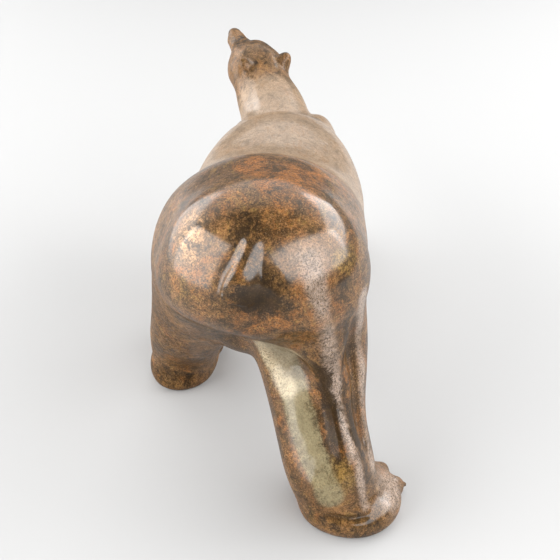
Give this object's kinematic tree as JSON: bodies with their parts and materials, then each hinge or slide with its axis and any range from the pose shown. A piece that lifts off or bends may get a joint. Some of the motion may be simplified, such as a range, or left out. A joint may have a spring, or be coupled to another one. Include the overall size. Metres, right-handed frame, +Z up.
{
  "type": "polar bear sculpture",
  "caption": "Walking polar bear cast in patinated bronze, smooth and rounded, with its head stretched forward, standing on four flat-soled paws.",
  "frame": {"origin": "on the ground, under the middle of the bounding box", "axes": "+X the way the animal walks, from tail to head; +Y its left side; +Z up"},
  "size_m": [0.4116, 0.156, 0.1822],
  "materials": {
    "patinated_bronze": "mottled brown patina, waxed and polished"
  },
  "bodies": {
    "root": {"polar_bear": "patinated_bronze"}
  },
  "joints": []
}
